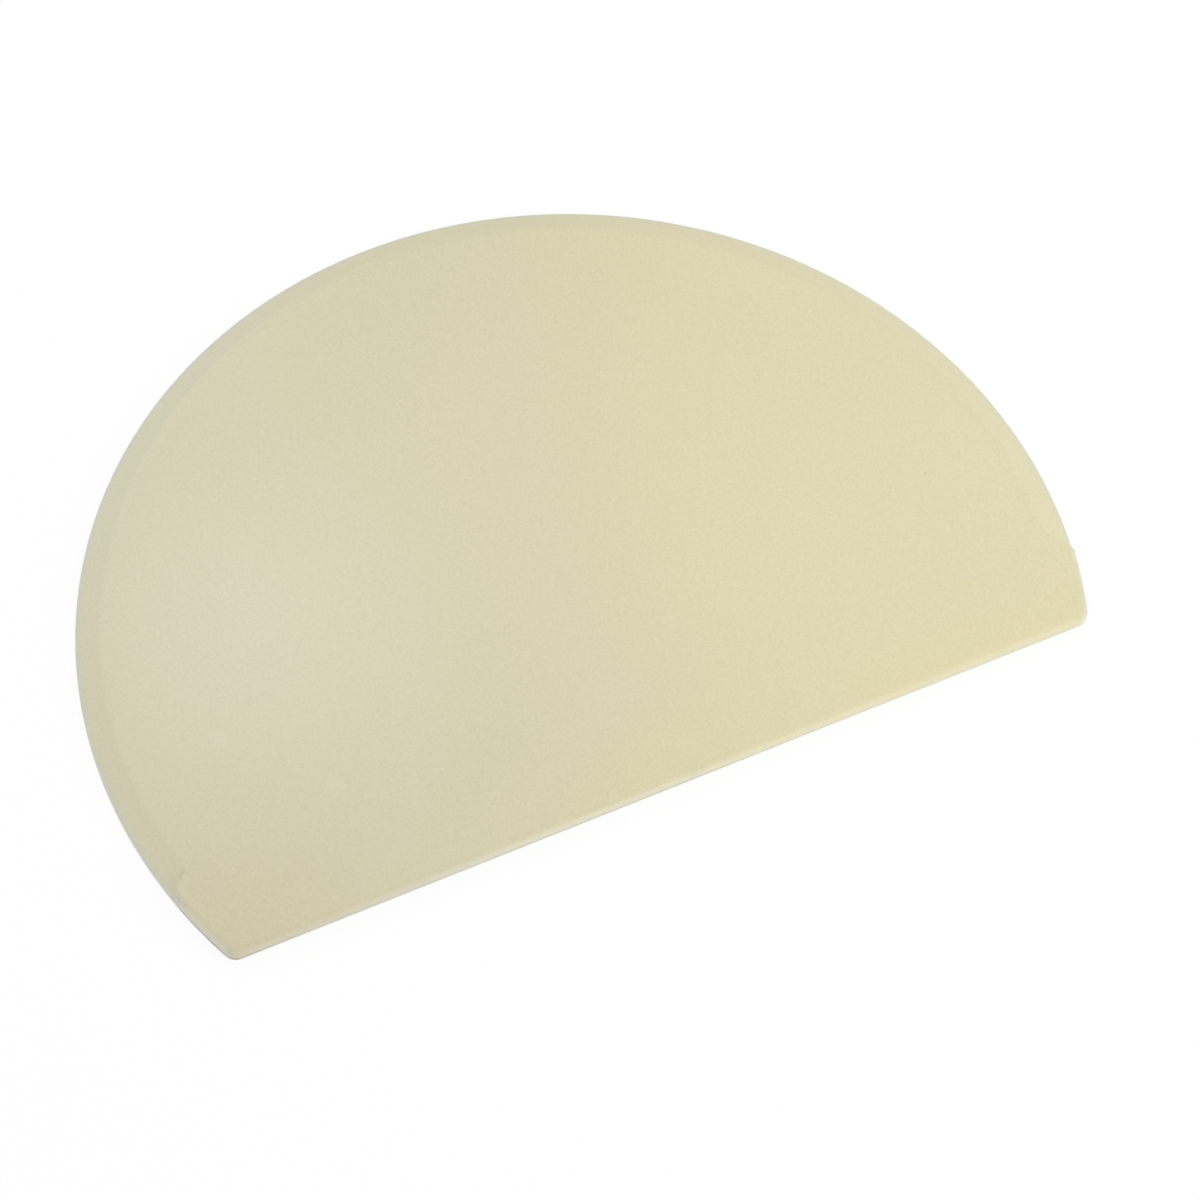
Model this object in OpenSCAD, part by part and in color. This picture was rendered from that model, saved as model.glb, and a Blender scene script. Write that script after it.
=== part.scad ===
// Half-round bowl scraper: one flexible moulded plate. Its curved edge is bevelled thin
// to scrape a bowl clean, and its straight edge is left thick and rounded for the hand.

/* [Plate] */
// Radius of the curved scraping edge
arc_r = 74; // [60:0.5:110]
// Height of the curve's centre above the straight edge
arc_rise = 29; // [10:0.5:40]
// Radius of the two corners, seen from above
corner_r = 2.1; // [2:0.1:12]
// Thickness of the plate
plate_t = 2.2; // [1.8:0.1:4]

/* [Scraping bevel] */
// Thickness left at the curved edge
edge_t = 0.5; // [0.3:0.05:1.2]
// Width of the bevel, from the curved edge to where the full thickness starts
bevel_w = 3.8; // [2:0.1:6]

/* [Full-thickness lands at the ends of the bevel] */
// Height above the straight edge at which each land's outline meets the curved edge
land_y = 10.5; // [8:0.5:25]
// Radius of that outline, seen from above
land_r = 6.5; // [4:0.5:12]
// Angle at which it meets the curved edge, in degrees
land_angle = 23; // [20:1:60]
// Steepness of the wall between the land and the bevel, in degrees
land_wall_angle = 70; // [55:1:85]

/* [Straight edge] */
// Radius of the rounding on the upper arris, along the straight edge and both corners
arris_r = 1; // [0.4:0.1:1.4]

/* [Gate mark] */
// Distance of the trimmed gate mark from the middle of the straight edge
gate_x = 3.5; // [-30:0.5:30]
// Diameter of the gate mark
gate_d = 2.8; // [1:0.1:4]
// Depth of the gate mark below the rounded arris
gate_depth = 0.1; // [0.05:0.05:0.3]

/* [Hidden] */
$fn = 240;

// How far cutters reach past the faces that they cut
overshoot = 1;
// How far each corner circle reaches past the two edges that it joins, so that they cross
corner_lap = 0.01;

// Overall size from the straight edge, on Y = 0 here, to the top of the curve
plate_depth = arc_rise + arc_r;
// Centre of the right-hand corner rounding
corner_y = corner_r - corner_lap;
corner_x = sqrt(pow(arc_r - corner_r + corner_lap, 2) - pow(arc_rise - corner_y, 2));
// Direction from the curve's centre to the point where that rounding starts
corner_angle = atan2(corner_y - arc_rise, corner_x);

// Rise of the bevel per unit of width
bevel_slope = (plate_t - edge_t) / bevel_w;
// Direction from the curve's centre to the point where the right-hand land starts
land_start = asin((land_y - arc_rise) / arc_r);
// Centre of that land's outline
land_in_r = arc_r - land_r * cos(land_angle);
land_down = land_r * sin(land_angle);
land_x = land_in_r * cos(land_start) + land_down * sin(land_start);
land_centre_y = arc_rise + land_in_r * sin(land_start) - land_down * cos(land_start);
// Run of the land's wall per unit of height
land_run = 1 / tan(land_wall_angle);

module at_curve_centre() {
    translate([0, arc_rise, 0]) children();
}

module both_sides() {
    for (side = [0, 1]) mirror([side, 0, 0]) children();
}

// The corner of the outline that lies outside the corner rounding
module corner_nick() {
    far_r = arc_r + overshoot;
    difference() {
        polygon([
            [corner_x, corner_y],
            [corner_x, -overshoot],
            [arc_r, -overshoot],
            [far_r * cos(corner_angle), arc_rise + far_r * sin(corner_angle)]
        ]);
        translate([corner_x, corner_y]) circle(r = corner_r);
    }
}

// A circle cut off by the straight edge, with rounded corners
module outline() {
    difference() {
        at_curve_centre() circle(r = arc_r);
        translate([-arc_r, -2 * arc_r]) square([2 * arc_r, 2 * arc_r]);
        both_sides() corner_nick();
    }
}

// What a full turn of the bevel takes off the plate
module bevel_ring() {
    at_curve_centre()
        rotate_extrude()
            polygon([
                [arc_r - bevel_w - overshoot / bevel_slope, plate_t + overshoot],
                [arc_r + edge_t / 2 / bevel_slope, edge_t / 2],
                [arc_r + edge_t / 2 / bevel_slope, plate_t + overshoot]
            ]);
}

// What the bevel leaves standing at both ends: a round land, and the plate below it
module lands() {
    both_sides()
        translate([land_x, land_centre_y, 0])
            cylinder(
                h = plate_t + 2 * overshoot,
                r1 = land_r + plate_t * land_run,
                r2 = land_r - 2 * overshoot * land_run
            );
    translate([-2 * arc_r, land_centre_y - 2 * arc_r, -overshoot])
        cube([4 * arc_r, 2 * arc_r, plate_t + 3 * overshoot]);
}

module bevel_cut() {
    difference() {
        bevel_ring();
        lands();
    }
}

// What the rounding takes off the upper arris, measured inwards from the wall at X = 0
module arris_profile() {
    difference() {
        translate([-overshoot, plate_t - arris_r]) square(arris_r + overshoot);
        translate([arris_r, plate_t - arris_r]) circle(r = arris_r);
    }
}

// The arris profile swept along the straight edge, round the curve and round the corners
module arris_cut() {
    translate([arc_r, 0, 0])
        rotate([90, 0, -90]) linear_extrude(height = 2 * arc_r) mirror([1, 0]) arris_profile();
    at_curve_centre() rotate_extrude() translate([arc_r, 0]) mirror([1, 0]) arris_profile();
    both_sides()
        translate([corner_x, corner_y, 0])
            rotate([0, 0, -90])
                rotate_extrude(angle = 90 + corner_angle)
                    translate([corner_r, 0]) mirror([1, 0]) arris_profile();
}

// The small flat left on the arris where the gate was trimmed off
module gate_cut() {
    translate([gate_x, arris_r, plate_t - arris_r])
        rotate([45, 0, 0])
            translate([0, 0, arris_r - gate_depth]) cylinder(h = overshoot, d = gate_d);
}

module scraper() {
    color([0.855, 0.831, 0.71])
        translate([0, -plate_depth / 2, 0])
            difference() {
                linear_extrude(height = plate_t) outline();
                bevel_cut();
                arris_cut();
                gate_cut();
            }
}

scraper();
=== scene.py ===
import functools
import math
import operator

import bpy
from mathutils import Matrix, Vector


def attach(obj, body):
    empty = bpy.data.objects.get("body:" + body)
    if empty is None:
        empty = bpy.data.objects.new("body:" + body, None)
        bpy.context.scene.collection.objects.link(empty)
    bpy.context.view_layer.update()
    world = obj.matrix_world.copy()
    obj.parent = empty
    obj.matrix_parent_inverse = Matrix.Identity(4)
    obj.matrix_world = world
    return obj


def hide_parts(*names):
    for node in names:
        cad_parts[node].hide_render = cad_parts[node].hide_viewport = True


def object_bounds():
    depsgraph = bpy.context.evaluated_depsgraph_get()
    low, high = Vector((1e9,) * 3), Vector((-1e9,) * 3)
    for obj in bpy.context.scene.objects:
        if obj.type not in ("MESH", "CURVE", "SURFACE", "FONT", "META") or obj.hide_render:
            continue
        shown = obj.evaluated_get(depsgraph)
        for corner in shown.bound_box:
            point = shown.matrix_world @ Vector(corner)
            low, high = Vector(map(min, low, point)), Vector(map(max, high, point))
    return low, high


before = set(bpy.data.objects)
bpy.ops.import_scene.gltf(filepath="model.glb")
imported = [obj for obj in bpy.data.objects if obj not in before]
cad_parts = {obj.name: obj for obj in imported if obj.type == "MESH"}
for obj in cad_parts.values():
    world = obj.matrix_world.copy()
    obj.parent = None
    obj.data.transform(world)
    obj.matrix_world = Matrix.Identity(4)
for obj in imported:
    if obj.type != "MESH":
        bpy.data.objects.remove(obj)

cad_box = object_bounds()
MM = 0.001

# The photograph's camera, aimed at a point on the floor
CAMERA_AZIMUTH = math.radians(-30.835)
CAMERA_ELEVATION = math.radians(58.957)
CAMERA_ROLL = math.radians(6.155)
CAMERA_DISTANCE = 632.09 * MM
CAMERA_AIM = Vector((4.0, -19.06, 0.0)) * MM
LENS_MM = 129.43
SENSOR_MM = 36.0

# The scraper, in the frame's millimetres
STRAIGHT_EDGE_Y = cad_box[0][1] / MM
PLATE_TOP = cad_box[1][2] / MM
CURVE_CENTRE_Y = STRAIGHT_EDGE_Y + 29.0
CURVE_RADIUS = 74.0
BEVEL_WIDTH = 3.8
INNER_LINE = CURVE_RADIUS - BEVEL_WIDTH
LIP_TOP = 0.5
LIP_END_Y = STRAIGHT_EDGE_Y + 11.6

# The right land; the left one mirrors it. The bevel's colour starts at a line across both
LAND_CENTRE = (65.22, STRAIGHT_EDGE_Y + 9.54)
LAND_RADIUS = 6.5
LANDS_LINE_Y = STRAIGHT_EDGE_Y + 9.0

# Clean-up of the moulding's mesh
WELD_DISTANCE = 0.01 * MM
SLIVER = 0.004 * MM
FLAT_ANGLE = math.radians(0.4)
SMOOTH_ANGLE = math.radians(35.0)
LEVEL_FACE = 0.9999

# Edges that are eased as the plate leaves the mould, and how close a corner must lie to count as on one
INNER_LINE_SOFTNESS = 0.7 * MM
FOOT_ROUND = 0.16 * MM
LIP_ROUND = 0.1 * MM
LAND_RIM_ROUND = 0.25 * MM
LAND_RIM_LAP = 0.1 * MM
NEAR = 0.06 * MM
CLOSE = 0.02 * MM

# Soft boxes: bearing and height in degrees, distance, width and depth in metres, and power in watts
SOFT_BOXES = {
    "back_right_box": (45.0, 20.0, 0.9, 0.6, 0.5, 1.01),
    "back_box": (90.0, 20.0, 0.9, 0.6, 0.5, 0.74),
    "back_left_box": (135.0, 20.0, 0.9, 0.6, 0.5, 1.48),
    "left_box": (180.0, 20.0, 0.9, 0.6, 0.5, 2.60),
    "front_left_box": (225.0, 20.0, 0.9, 0.6, 0.5, 2.06),
    "front_right_box": (315.0, 20.0, 0.9, 0.6, 0.5, 6.28),
    "high_back_box": (90.0, 45.0, 0.9, 0.6, 0.5, 2.68),
    "near_right_box": (0.0, 51.3, 0.32, 0.2, 0.2, 0.214),
}
# Boxes lower than this light the plate without a mirror image, which would bleach it in low views
LOW_BOX_HEIGHT = math.radians(30.0)
SKY_STRENGTH = 0.081

# The floor lies a little under the plate, so that the two faces never share a plane
FLOOR_GAP = 0.02 * MM
FLOOR_WIDTH = 8.0
FLOOR_PAINT = (0.85, 0.85, 0.85)
FLOOR_WHITE_SHARE = 0.93
WHITE = (1.0, 1.0, 1.0)

# A band is a measure and the two places, in millimetres, between which a mask fades in.
# PlateMasks says what each measure counts
TOPSIDE = ("height", 0.0, 0.05)
LEFT_HALF = ("across", 0.0, -1.0)
RIGHT_HALF = ("across", -1.0, 0.0)
# Across which the painted side light goes from the darker, cooler left to the lighter, warmer right
LIT_WARM_SIDE = ("across", -60.0, 50.0)
ABOVE_CORNER = ("above_edge", 1.0, 2.2)
BELOW_LANDS_LINE = ("above_lands_line", 0.8, -0.4)
LOW_ON_BEVEL = (("above_top", 0.0, -0.2), ("above_lands_line", 0.0, 1.0), TOPSIDE)
# Where the straight edge's rounded arris gets a painted highlight
PAINTED_EDGE_HIGHLIGHT = (("above_edge", 0.4, 0.02), ("across", -48.0, -18.0), ("height", 0.4, 1.1))
FOOT = (("height", 1.1, 0.2), TOPSIDE)
LEFT_LAND_FOOT = (("height", 0.9, 0.35), ("across", -60.0, -70.0), TOPSIDE)
LIP = (("height", 0.45, 0.1), ("across", 20.0, -40.0), TOPSIDE)

# The bevel's inner line is crisp in the middle of the curve and soft towards both ends
CRISP_INNER_LINE = ("past_inner_line", -0.25, 0.25)
SOFT_INNER_LINE = ("past_inner_line", -2.6, 2.0)
SOFT_ON_LEFT = ("across", -57.0, -66.0)
SOFT_ON_RIGHT = ("across", 32.0, 50.0)
BEVEL_ENDS = (("above_lands_line", 0.0, 1.5), ("past_land", -0.2, 0.3), TOPSIDE)

# Ivory plastic, as linear colours: the cool left side and the warm right side. The change across the plate
# is painted light: lighter and warmer to the right, darker and cooler to the left
FIELD_COOL = (0.648, 0.608, 0.433)
FIELD_WARM = (0.679, 0.622, 0.403)
# The bevel's pair is a copy of the ivory with painted light and shade for its tilt
BEVEL_COOL = (0.650, 0.617, 0.453)
BEVEL_WARM = (0.665, 0.616, 0.405)

# Round spots of colour: place to the right of the middle and above the straight edge, the radii between
# which they fade, in millimetres, and the shift of colour at their heart
# The field's clouds are painted light where they lighten the field and painted shade where they darken it,
# for the uneven light across it
FIELD_CLOUDS = {
    "pale_left": (-41.0, 47.0, 0.0, 40.0, (0.039, 0.041, 0.047)),
    "shaded_curve": (8.0, 104.0, 0.0, 45.0, (-0.045, -0.032, -0.021)),
    "shaded_corner": (-66.0, -2.0, 0.0, 34.0, (-0.019, -0.034, -0.040)),
    "shaded_upper_left": (-32.0, 92.0, 0.0, 40.0, (-0.011, -0.011, -0.010)),
    "shaded_upper_right": (34.0, 88.0, 0.0, 24.0, (-0.009, -0.009, -0.008)),
    "lit_right": (28.0, 26.0, 0.0, 52.0, (0.023, 0.024, 0.009)),
    "lit_edge": (74.0, 30.0, 0.0, 30.0, (0.016, 0.012, 0.003)),
}
# Painted shade on the bevel at the top of the curve, where it faces away from the light
BEVEL_CLOUDS = {
    "shaded_top": (5.0, 103.0, 0.0, 48.0, (-0.009, -0.009, -0.008)),
}
SMALL_MARKS = {
    "pale_dot_upper": (-56.5, 32.4, 0.6, 2.0, (0.014, 0.014, 0.018)),
    "pale_dot_lower": (-44.4, 18.7, 0.6, 2.0, (0.014, 0.014, 0.018)),
    "dark_smudge_top": (-4.5, 71.0, 0.2, 0.95, (-0.022, -0.022, -0.016)),
    "dark_speck_right": (57.4, 31.8, 0.05, 0.35, (-0.095, -0.095, -0.065)),
    "dark_speck_beside": (58.4, 31.4, 0.05, 0.35, (-0.060, -0.060, -0.045)),
    "gate_haze": (3.4, 0.1, 0.3, 1.2, (-0.032, -0.018, 0.014)),
    "gate_blush": (4.2, 4.9, 0.5, 3.2, (0.010, 0.010, 0.012)),
}


def times(shift, strength):
    """A shift of colour made stronger or weaker."""
    return tuple(part * strength for part in shift)


# Tints: the shift of colour, then the bands that hold it in its place
FIELD_TINTS = {
    # Painted shade on the field just inside the bevel by the left rim
    "shaded_left_rim": ((-0.009, -0.009, -0.006), ("past_inner_line", -7.2, 0.0), ("across", -38.0, -58.0)),
    "warm_by_edge": ((0.012, 0.007, -0.012), ("above_edge", 16.0, 3.0), ("across", -50.0, -5.0)),
    # Painted highlight along the straight edge's arris, stronger left of the middle
    "edge_highlight": ((0.020, 0.023, 0.028), *PAINTED_EDGE_HIGHLIGHT),
    "edge_highlight_on_left": ((0.020, 0.023, 0.028), *PAINTED_EDGE_HIGHLIGHT, ("across", 45.0, 5.0)),
}
BEVEL_TINTS = {
    "warm_left_end": ((0.004, 0.002, -0.009), ("across", -60.0, -68.0)),
}
RIM_TINTS = {
    # Painted shade on the left land's steep wall
    "shaded_left_land_wall": (
        (-0.012, -0.012, -0.012),
        ("past_land", -0.3, 0.0),
        ("past_land", 1.2, 0.6),
        *LOW_ON_BEVEL,
        LEFT_HALF,
    ),
    # Painted shade in the crease where the bevel meets the left land's wall
    "left_land_crease_shade": (
        (-0.075, -0.068, -0.045),
        ("past_land", -0.2, 0.2),
        ("past_land", 1.5, 0.5),
        ("past_curve", -2.4, -0.3),
        *LOW_ON_BEVEL,
        LEFT_HALF,
    ),
    # Painted shade that dims the highlight on the left land's rounded rim
    "left_land_rim_shade": (
        (-0.034, -0.032, -0.020),
        ("past_land", -0.35, -0.1),
        ("past_land", 0.45, 0.2),
        ("past_curve", -4.2, -3.0),
        ("above_lands_line", 1.3, 2.1),
        TOPSIDE,
        LEFT_HALF,
    ),
    # Painted light along the thin curved rim: a bluish grey for the white from below showing through it
    "grey_rim": ((-0.036, -0.010, 0.050), ("past_curve", -1.4, 0.0)),
    # Painted highlight on the rounded arris at the left corner
    "lit_left_arris": (
        (0.038, 0.038, 0.005),
        ("above_top", 0.0, -0.1),
        ("height", 1.2, 1.8),
        ("past_curve", -3.0, -2.0),
        BELOW_LANDS_LINE,
        ABOVE_CORNER,
        LEFT_HALF,
    ),
    "grey_edge_wall": (
        (-0.012, 0.0, 0.042),
        ("above_edge", 1.0, 0.1),
        ("height", 2.1, 0.7),
        ("across", -69.0, -65.0),
    ),
    # Painted shade on the rim at the right corner, below the land, where the arris catches the light
    "shaded_right_land": (
        (-0.052, -0.036, 0.012),
        ("past_curve", -1.0, -0.2),
        BELOW_LANDS_LINE,
        RIGHT_HALF,
    ),
}
FOOT_SHADE = (-0.050, -0.047, -0.035)
FOOT_TINTS = {
    "foot": (times(FOOT_SHADE, 0.1), *FOOT),
    "left_foot": (FOOT_SHADE, *FOOT, ("across", 25.0, 0.0)),
    "left_land_foot": (times(FOOT_SHADE, 2.2), *LEFT_LAND_FOOT),
    "left_land_foot_above_corner": (times(FOOT_SHADE, 3.4), *LEFT_LAND_FOOT, ABOVE_CORNER),
}
LIP_TINTS = {
    "left_lip": (times(FOOT_SHADE, 3.0), *LIP),
}

# The grain is one fine noise, sized in cells to the metre. It tints, dulls and roughens the plastic
GRAIN_NOISE = {"Scale": 3000.0, "Detail": 2.0, "Roughness": 0.6}
GRAIN_MIDDLE = 0.5
GRAIN_TINT = (0.135, 0.135, 0.11)
GRAIN_DULLING = 0.06
GRAIN_RELIEF = {"Strength": 0.2, "Distance": 0.01 * MM}
GLOSSIEST = 0.42

# Numbers of a Mix node's sockets for colours, which share their names with its other sockets
MIX_COLOURS = (6, 7)
MIX_RESULT = 2


class Value:
    """A shader socket that can stand in an arithmetic expression."""

    def __init__(self, tree, socket):
        self.tree = tree
        self.socket = socket

    def math(self, operation, *others):
        return self.tree.node("ShaderNodeMath", {"operation": operation}, self, *others)

    def __add__(self, other):
        return self.math("ADD", other)

    __radd__ = __add__

    def __mul__(self, other):
        return self.math("MULTIPLY", other)

    __rmul__ = __mul__

    def __sub__(self, other):
        return self.math("SUBTRACT", other)

    def __rsub__(self, other):
        return self.tree.node("ShaderNodeMath", {"operation": "SUBTRACT"}, other, self)


class Shader:
    """The node tree of one material or of the world."""

    def __init__(self, tree):
        self.nodes = tree.nodes
        self.links = tree.links
        self.nodes.clear()

    def node(self, kind, settings=None, *values, sockets=None, out=0):
        """Adds a node. Values or links fill its sockets in order, or by number or name through sockets."""
        made = self.nodes.new(kind)
        for key, setting in (settings or {}).items():
            setattr(made, key, setting)
        for key, value in {**dict(enumerate(values)), **(sockets or {})}.items():
            if isinstance(value, Value):
                self.links.new(value.socket, made.inputs[key])
            else:
                made.inputs[key].default_value = value
        return Value(self, made.outputs[out]) if made.outputs else None

    def blend(self, factor, first, second):
        """A colour between two others, each a link or a red, green and blue."""
        ends = [colour if isinstance(colour, Value) else (*colour, 1.0) for colour in (first, second)]
        sockets = dict(zip(MIX_COLOURS, ends))
        return self.node("ShaderNodeMix", {"data_type": "RGBA"}, factor, sockets=sockets, out=MIX_RESULT)

    def fade(self, value, start, end):
        """Rises smoothly from 0 at start to 1 at end."""
        return self.node("ShaderNodeMapRange", {"interpolation_type": "SMOOTHSTEP"}, value, start, end)

    def shift(self, colour, mask, amount):
        """A colour moved by a fixed amount where the mask is 1."""
        return self.node("ShaderNodeVectorMath", {"operation": "MULTIPLY_ADD"}, mask, amount, colour)

    def rays_of_sight(self):
        """Three masks: what the camera sees, what is mirrored, and what is seen through clear things."""
        rays = ("Is Camera Ray", "Is Glossy Ray", "Is Transmission Ray")
        return [self.node("ShaderNodeLightPath", out=ray) for ray in rays]


class PlateMasks:
    """Masks on the plate. Each is a product of bands, and a band fades in along one measure."""

    def __init__(self, shader):
        self.shader = shader
        self.place = shader.node("ShaderNodeTexCoord", out="Object")
        across, along, height = (
            shader.node("ShaderNodeSeparateXYZ", None, self.place, out=axis) for axis in "XYZ"
        )
        self.flat = shader.node("ShaderNodeCombineXYZ", None, across, along, 0.0)
        folded = shader.node("ShaderNodeCombineXYZ", None, across.math("ABSOLUTE"), along, 0.0)
        from_curve_centre = self.distance(self.flat, 0.0, CURVE_CENTRE_Y)
        from_land_centre = self.distance(folded, *LAND_CENTRE)
        # What each measure reads, and where it starts to count, in millimetres
        self.measures = {
            "across": (across, 0.0),
            "height": (height, 0.0),
            "above_top": (height, PLATE_TOP),
            "above_edge": (along, STRAIGHT_EDGE_Y),
            "above_lands_line": (along, LANDS_LINE_Y),
            "past_inner_line": (from_curve_centre, INNER_LINE),
            "past_curve": (from_curve_centre, CURVE_RADIUS),
            "past_land": (from_land_centre, LAND_RADIUS),
        }

    def distance(self, points, x, y):
        """How far points lie from a place on the plate, seen from above."""
        place = Vector((x, y, 0.0)) * MM
        settings = {"operation": "DISTANCE"}
        return self.shader.node("ShaderNodeVectorMath", settings, points, place, out="Value")

    def band(self, measure, start, end):
        """A mask that fades in between two places along a measure."""
        socket, origin = self.measures[measure]
        return self.shader.fade(socket, (origin + start) * MM, (origin + end) * MM)

    def product(self, bands, *masks):
        """1 where all the bands and masks are 1."""
        return functools.reduce(operator.mul, [*(self.band(*band) for band in bands), *masks])

    def tint(self, colour, tints, *masks):
        """A colour shifted by each tint, within its bands and within the masks that are given."""
        for shift, *bands in tints.values():
            colour = self.shader.shift(colour, self.product(bands, *masks), shift)
        return colour

    def spot(self, colour, spots, *bands):
        """A colour shifted by each round spot, within the bands that are given."""
        for x, y, core, rim, shift in spots.values():
            from_heart = self.distance(self.flat, x, STRAIGHT_EDGE_Y + y)
            mask = self.product(bands, self.shader.fade(from_heart, rim * MM, core * MM))
            colour = self.shader.shift(colour, mask, shift)
        return colour

    def bevel(self):
        """1 on the scraping bevel."""
        crisp = self.band(*CRISP_INNER_LINE)
        softness = self.band(*SOFT_ON_LEFT) + self.band(*SOFT_ON_RIGHT)
        line = crisp + (self.band(*SOFT_INNER_LINE) - crisp) * softness
        return self.product(BEVEL_ENDS, line)


def new_material(name):
    material = bpy.data.materials.new(name)
    material.use_nodes = True
    return material, Shader(material.node_tree)


def moulded_ivory():
    """Matt ivory plastic: a grained field with broad clouds of painted light and shade, a bevel with
    painted light and shade for its tilt, painted shade and highlights along the rims, and small marks.
    """
    material, shader = new_material("moulded_ivory")
    plate = PlateMasks(shader)
    bevel = plate.bevel()
    # Painted light across the plate: lighter and warmer to the right, darker and cooler to the left
    side_light = plate.band(*LIT_WARM_SIDE)
    field_colour = shader.blend(side_light, FIELD_COOL, FIELD_WARM)
    # Clouds of painted light and shade on the field
    field_colour = plate.spot(field_colour, FIELD_CLOUDS)
    # Painted shade by the left rim, a painted highlight along the straight edge's arris, and a warmer band
    # by the edge
    field_colour = plate.tint(field_colour, FIELD_TINTS)
    # The bevel's colour: the ivory with painted light and shade for its tilt
    bevel_shading_colour = shader.blend(side_light, BEVEL_COOL, BEVEL_WARM)
    bevel_shading_colour = plate.tint(bevel_shading_colour, BEVEL_TINTS)
    # Painted shade on the bevel's top
    bevel_shading_colour = plate.spot(bevel_shading_colour, BEVEL_CLOUDS)
    colour = shader.blend(bevel, field_colour, bevel_shading_colour)
    # Mostly painted shade and highlights along the lands, rims and arrises, and painted light along the
    # thin rim
    colour = plate.tint(colour, RIM_TINTS)
    colour = plate.tint(colour, FOOT_TINTS, 1.0 - bevel)
    colour = plate.tint(colour, LIP_TINTS, bevel)
    colour = plate.spot(colour, SMALL_MARKS, TOPSIDE)
    grain = shader.node("ShaderNodeTexNoise", sockets={"Vector": plate.place, **GRAIN_NOISE})
    colour = shader.shift(colour, grain - GRAIN_MIDDLE, GRAIN_TINT)
    relief = shader.node("ShaderNodeBump", sockets={"Height": grain, **GRAIN_RELIEF})
    roughness = GLOSSIEST + grain * GRAIN_DULLING
    finish = {"Base Color": colour, "Roughness": roughness, "Normal": relief}
    surface = shader.node("ShaderNodeBsdfPrincipled", sockets=finish)
    shader.node("ShaderNodeOutputMaterial", None, surface)
    return material


def studio_floor():
    """Pale floor, white to the camera and in reflections, that keeps a trace of the shadow."""
    material, shader = new_material("studio_floor")
    camera, mirrored, seen_through = shader.rays_of_sight()
    paint = shader.blend(camera, FLOOR_PAINT, WHITE)
    pale = shader.node("ShaderNodeBsdfDiffuse", None, paint)
    white = shader.node("ShaderNodeEmission", None, (*WHITE, 1.0), 1.0)
    share = camera * FLOOR_WHITE_SHARE + mirrored + seen_through
    mixed = shader.node("ShaderNodeMixShader", None, share, pale, white)
    shader.node("ShaderNodeOutputMaterial", None, mixed)
    return material


def lay_floor():
    bpy.ops.object.select_all(action="DESELECT")
    bpy.ops.mesh.primitive_plane_add(size=FLOOR_WIDTH, location=(0.0, 0.0, -FLOOR_GAP))
    floor = bpy.context.object
    floor.name = "floor"
    floor.data.materials.append(studio_floor())


def light_studio():
    """A weak even sky that the camera sees as white, and soft boxes standing round the table."""
    world = bpy.data.worlds.new("studio")
    world.use_nodes = True
    bpy.context.scene.world = world
    shader = Shader(world.node_tree)
    seen = functools.reduce(operator.add, shader.rays_of_sight())
    strength = seen * (1.0 - SKY_STRENGTH) + SKY_STRENGTH
    sky = shader.node("ShaderNodeBackground", None, (*WHITE, 1.0), strength)
    shader.node("ShaderNodeOutputWorld", None, sky)
    for name, (bearing, height, distance, width, depth, power) in SOFT_BOXES.items():
        lamp = bpy.data.lights.new(name, "AREA")
        lamp.shape = "RECTANGLE"
        lamp.size = width
        lamp.size_y = depth
        lamp.energy = power
        hang_soft_box(lamp, math.radians(bearing), math.radians(height), distance)


def hang_soft_box(lamp, bearing, height, distance):
    """Hangs a box at its bearing and height, facing the middle of the plate."""
    place = Vector((
        math.cos(bearing) * math.cos(height),
        math.sin(bearing) * math.cos(height),
        math.sin(height),
    )) * distance
    box = bpy.data.objects.new(lamp.name, lamp)
    box.location = place
    box.rotation_euler = (-place).to_track_quat("-Z", "Y").to_euler()
    box.visible_glossy = height > LOW_BOX_HEIGHT
    bpy.context.scene.collection.objects.link(box)


def place_camera():
    """Stands the camera at the photograph's angle and turns it by the photograph's roll."""
    back = Vector((
        math.sin(CAMERA_AZIMUTH) * math.cos(CAMERA_ELEVATION),
        -math.cos(CAMERA_AZIMUTH) * math.cos(CAMERA_ELEVATION),
        math.sin(CAMERA_ELEVATION),
    ))
    data = bpy.data.cameras.new("camera")
    data.lens = LENS_MM
    data.sensor_width = SENSOR_MM
    camera = bpy.data.objects.new("camera", data)
    level = (-back).to_track_quat("-Z", "Y").to_matrix().to_4x4()
    roll = Matrix.Rotation(CAMERA_ROLL, 4, "Z")
    camera.matrix_world = Matrix.Translation(CAMERA_AIM + back * CAMERA_DISTANCE) @ level @ roll
    bpy.context.scene.collection.objects.link(camera)
    bpy.context.scene.camera = camera


def reach(point):
    """A corner's distance from the curve's centre, seen from above."""
    return math.hypot(point.x, point.y - CURVE_CENTRE_Y * MM)


def on_inner_line(point):
    """The line where the full thickness ends and the bevel starts."""
    return abs(reach(point) - INNER_LINE * MM) < NEAR and abs(point.z - PLATE_TOP * MM) < NEAR


def on_foot(point):
    """The outline of the underside."""
    return point.z < NEAR


def on_lip(point):
    """The upper edge of the thin curved side, from land to land."""
    on_edge = abs(reach(point) - CURVE_RADIUS * MM) < NEAR and abs(point.z - LIP_TOP * MM) < NEAR
    return on_edge and point.y > LIP_END_Y * MM


def on_land_rim(point):
    """The upper edge of the steep wall at each end of the bevel."""
    from_land = math.hypot(abs(point.x) - LAND_CENTRE[0] * MM, point.y - LAND_CENTRE[1] * MM)
    on_rim = abs(from_land - LAND_RADIUS * MM) < CLOSE and abs(point.z - PLATE_TOP * MM) < CLOSE
    return on_rim and reach(point) > INNER_LINE * MM - LAND_RIM_LAP


def select_edges(moulding, wanted):
    """In edit mode, selects the edges whose two ends both pass the test."""
    bpy.ops.mesh.select_all(action="DESELECT")
    bpy.ops.mesh.select_mode(type="EDGE")
    bpy.ops.object.mode_set(mode="OBJECT")
    mesh = moulding.data
    for edge in mesh.edges:
        edge.select = all(wanted(mesh.vertices[corner].co) for corner in edge.vertices)
    bpy.ops.object.mode_set(mode="EDIT")


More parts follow.
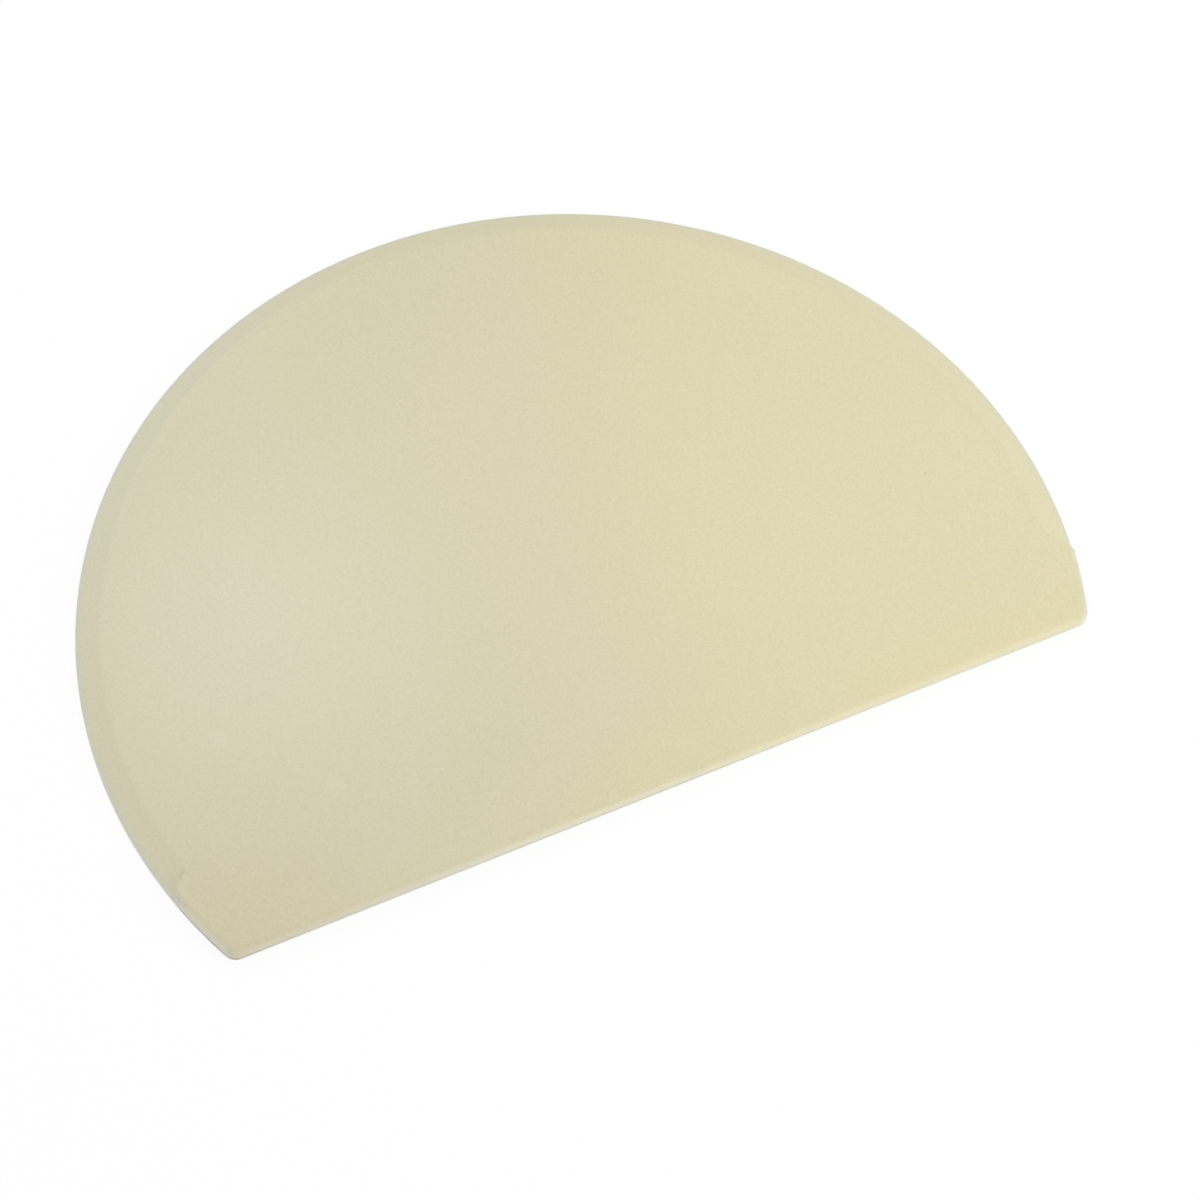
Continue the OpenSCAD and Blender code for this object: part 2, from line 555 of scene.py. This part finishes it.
def ease_edges(moulding):
    """In edit mode, rounds each kind of edge by its width, in its number of steps."""
    for wanted, width, steps, clamped in (
        (on_inner_line, INNER_LINE_SOFTNESS, 5, True),
        (on_foot, FOOT_ROUND, 4, True),
        (on_lip, LIP_ROUND, 3, False),
        (on_land_rim, LAND_RIM_ROUND, 3, False),
    ):
        select_edges(moulding, wanted)
        bpy.ops.mesh.bevel(offset=width, segments=steps, affect="EDGES", clamp_overlap=clamped)


def split_many_sided_faces(moulding):
    """In edit mode, cuts the small faces with more than four sides into even triangles."""
    bpy.ops.mesh.select_all(action="DESELECT")
    bpy.ops.mesh.select_mode(type="FACE")
    bpy.ops.object.mode_set(mode="OBJECT")
    for face in moulding.data.polygons:
        face.select = len(face.vertices) > 4 and abs(face.normal.z) < LEVEL_FACE
    bpy.ops.object.mode_set(mode="EDIT")
    bpy.ops.mesh.quads_convert_to_tris(quad_method="BEAUTY", ngon_method="BEAUTY")


def finish_moulding():
    """The plate with its edges eased as they leave the mould, in place of the plain solid."""
    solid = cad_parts["scraper"]
    moulding = bpy.data.objects.new("scraper_moulding", solid.data.copy())
    bpy.context.scene.collection.objects.link(moulding)
    bpy.ops.object.select_all(action="DESELECT")
    moulding.select_set(True)
    bpy.context.view_layer.objects.active = moulding
    bpy.ops.object.mode_set(mode="EDIT")
    bpy.ops.mesh.select_all(action="SELECT")
    bpy.ops.mesh.remove_doubles(threshold=WELD_DISTANCE)
    bpy.ops.mesh.dissolve_limited(angle_limit=FLAT_ANGLE)
    bpy.ops.mesh.normals_make_consistent(inside=False)
    ease_edges(moulding)
    bpy.ops.mesh.select_all(action="SELECT")
    bpy.ops.mesh.remove_doubles(threshold=SLIVER)
    split_many_sided_faces(moulding)
    bpy.ops.mesh.select_all(action="SELECT")
    bpy.ops.mesh.normals_make_consistent(inside=False)
    bpy.ops.object.mode_set(mode="OBJECT")
    bpy.ops.object.shade_smooth_by_angle(angle=SMOOTH_ANGLE)
    even = moulding.modifiers.new("even_shading", "WEIGHTED_NORMAL")
    even.keep_sharp = True
    bpy.ops.object.modifier_apply(modifier=even.name)
    moulding.data.materials.clear()
    moulding.data.materials.append(moulded_ivory())
    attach(moulding, "root")
    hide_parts("scraper")


place_camera()
lay_floor()
light_studio()
finish_moulding()
bpy.context.scene.view_settings.view_transform = "Standard"
